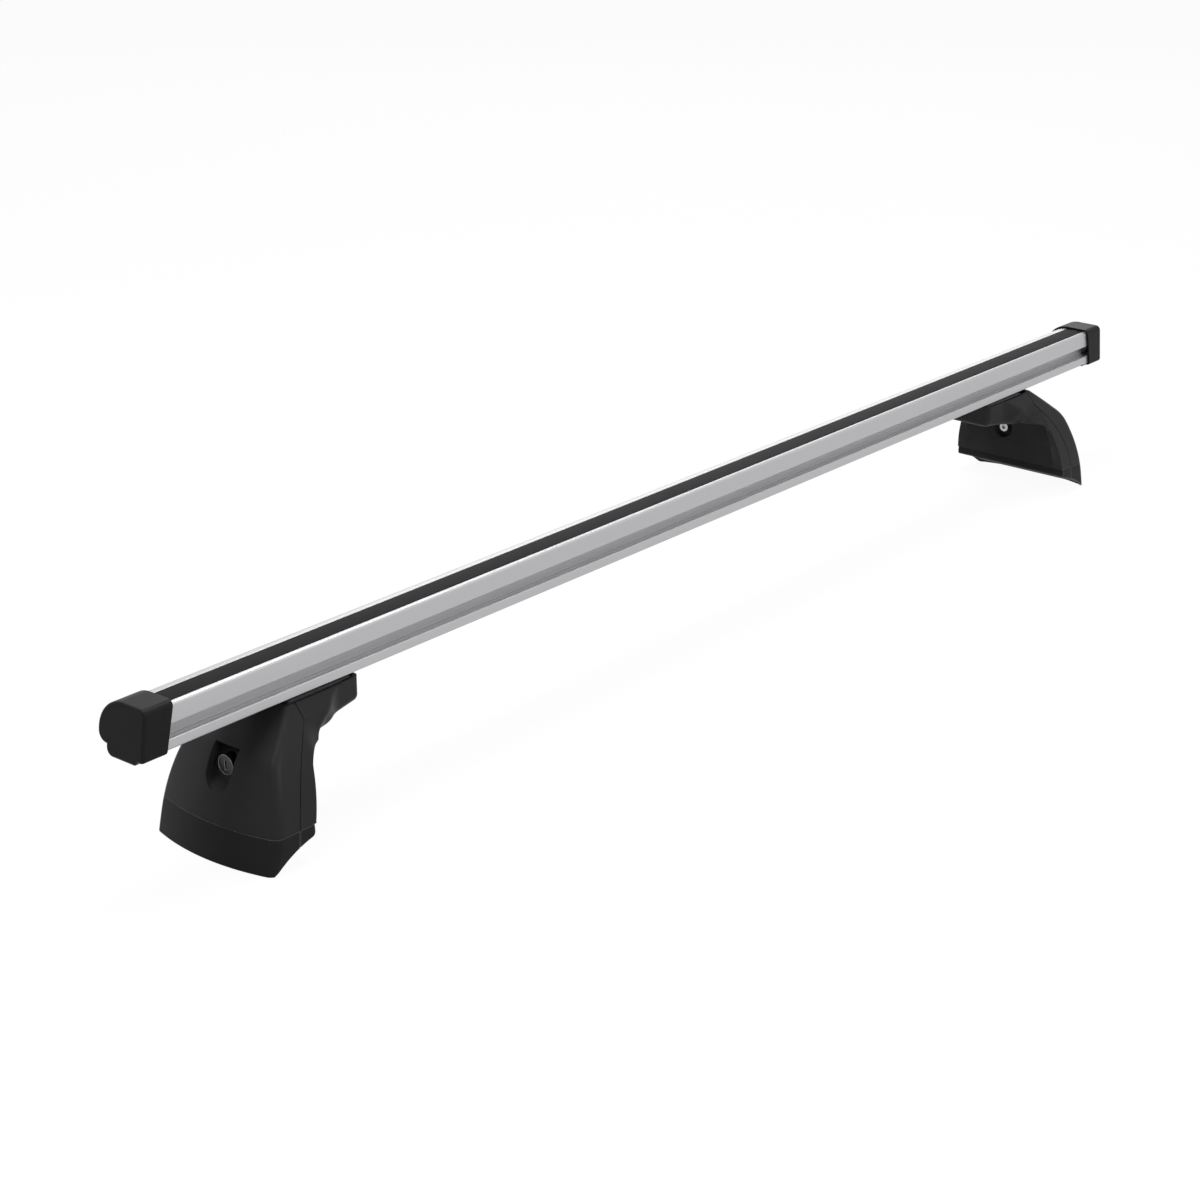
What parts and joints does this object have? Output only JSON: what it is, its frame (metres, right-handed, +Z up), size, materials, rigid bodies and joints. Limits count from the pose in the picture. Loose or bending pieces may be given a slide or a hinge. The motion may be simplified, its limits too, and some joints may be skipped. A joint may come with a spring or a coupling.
{
  "type": "roof rack crossbar",
  "caption": "Aluminium roof rack crossbar with a slotted front, a rubber top strip, plastic end caps and covered, lockable clamp feet that slide along it.",
  "frame": {"origin": "midway between the feet, on the roof, at the height of the lowest skirt edges", "axes": "+X along the bar, +Z up, the bar's slotted flat front faces -Y"},
  "size_m": [1.3706, 0.132, 0.1539],
  "materials": {
    "bar_aluminium": "satin anodised extrusion",
    "strip_rubber": "matte rubber",
    "cap_plastic": "fine-grained black plastic",
    "cover_plastic": "fine-grained black plastic",
    "skirt_rubber": "soft black trim",
    "pad_rubber": "matte rubber",
    "cast_aluminium": "die-cast",
    "plated_steel": "zinc plated",
    "lock_metal": "satin plated"
  },
  "bodies": {
    "bar": {"bar_extrusion": "bar_aluminium", "slot_strip": "strip_rubber"},
    "right_foot": {"right_foot_core": "cast_aluminium", "right_base_pad": "pad_rubber", "right_saddle_pad": "pad_rubber", "right_clamp_washer": "plated_steel", "right_inner_cover": "cover_plastic", "right_inner_skirt": "skirt_rubber", "right_outer_skirt": "skirt_rubber", "right_cover_screw": "plated_steel"},
    "right_cover": {"right_outer_cover": "cover_plastic", "right_lock_barrel": "lock_metal"},
    "right_lock": {"right_lock_plug": "lock_metal", "right_lock_cam": "plated_steel", "right_cam_screw": "plated_steel"},
    "right_clamp_screw": {"right_clamp_screw": "plated_steel"},
    "right_clamp_nut": {"right_clamp_nut": "plated_steel"},
    "right_cap": {"right_end_cap": "cap_plastic"},
    "left_foot": {"left_foot_core": "cast_aluminium", "left_base_pad": "pad_rubber", "left_saddle_pad": "pad_rubber", "left_clamp_washer": "plated_steel", "left_inner_cover": "cover_plastic", "left_inner_skirt": "skirt_rubber", "left_outer_skirt": "skirt_rubber", "left_cover_screw": "plated_steel"},
    "left_cover": {"left_outer_cover": "cover_plastic", "left_lock_barrel": "lock_metal"},
    "left_lock": {"left_lock_plug": "lock_metal", "left_lock_cam": "plated_steel", "left_cam_screw": "plated_steel"},
    "left_clamp_screw": {"left_clamp_screw": "plated_steel"},
    "left_clamp_nut": {"left_clamp_nut": "plated_steel"},
    "left_cap": {"left_end_cap": "cap_plastic"}
  },
  "joints": [
    {"name": "right_foot_slide", "type": "slide", "parent": "bar", "child": "right_foot", "axis": [1, 0, 0], "range_m": [-0.12, 0.04]},
    {"name": "right_cover_pull", "type": "slide", "parent": "right_foot", "child": "right_cover", "axis": [1, 0, 0], "range_m": [0, 0.06]},
    {"name": "right_key_turn", "type": "hinge", "parent": "right_cover", "child": "right_lock", "pos_m": [0.5818, 0, 0.0687], "axis": [1, 0, 0], "range_deg": [0, 90]},
    {"name": "right_clamp_turn", "type": "hinge", "parent": "right_foot", "child": "right_clamp_screw", "pos_m": [0.505, 0, 0.1004], "axis": [0, 0, -1], "range_deg": [0, 720]},
    {"name": "right_nut_rise", "type": "slide", "parent": "right_foot", "child": "right_clamp_nut", "axis": [0, 0, 1], "range_m": [0, 0.002]},
    {"name": "right_cap_pull", "type": "slide", "parent": "bar", "child": "right_cap", "axis": [1, 0, 0], "range_m": [0, 0.04]},
    {"name": "left_foot_slide", "type": "slide", "parent": "bar", "child": "left_foot", "axis": [1, 0, 0], "range_m": [-0.04, 0.12]},
    {"name": "left_cover_pull", "type": "slide", "parent": "left_foot", "child": "left_cover", "axis": [-1, 0, 0], "range_m": [0, 0.06]},
    {"name": "left_key_turn", "type": "hinge", "parent": "left_cover", "child": "left_lock", "pos_m": [-0.5818, 0, 0.0687], "axis": [-1, 0, 0], "range_deg": [0, 90]},
    {"name": "left_clamp_turn", "type": "hinge", "parent": "left_foot", "child": "left_clamp_screw", "pos_m": [-0.505, 0, 0.1004], "axis": [0, 0, -1], "range_deg": [0, 720]},
    {"name": "left_nut_rise", "type": "slide", "parent": "left_foot", "child": "left_clamp_nut", "axis": [0, 0, 1], "range_m": [0, 0.002]},
    {"name": "left_cap_pull", "type": "slide", "parent": "bar", "child": "left_cap", "axis": [-1, 0, 0], "range_m": [0, 0.04]}
  ],
  "couplings": [
    {"joint": "right_clamp_turn", "follows": "right_nut_rise", "rad_per_m": 6280},
    {"joint": "left_clamp_turn", "follows": "left_nut_rise", "rad_per_m": 6280}
  ]
}
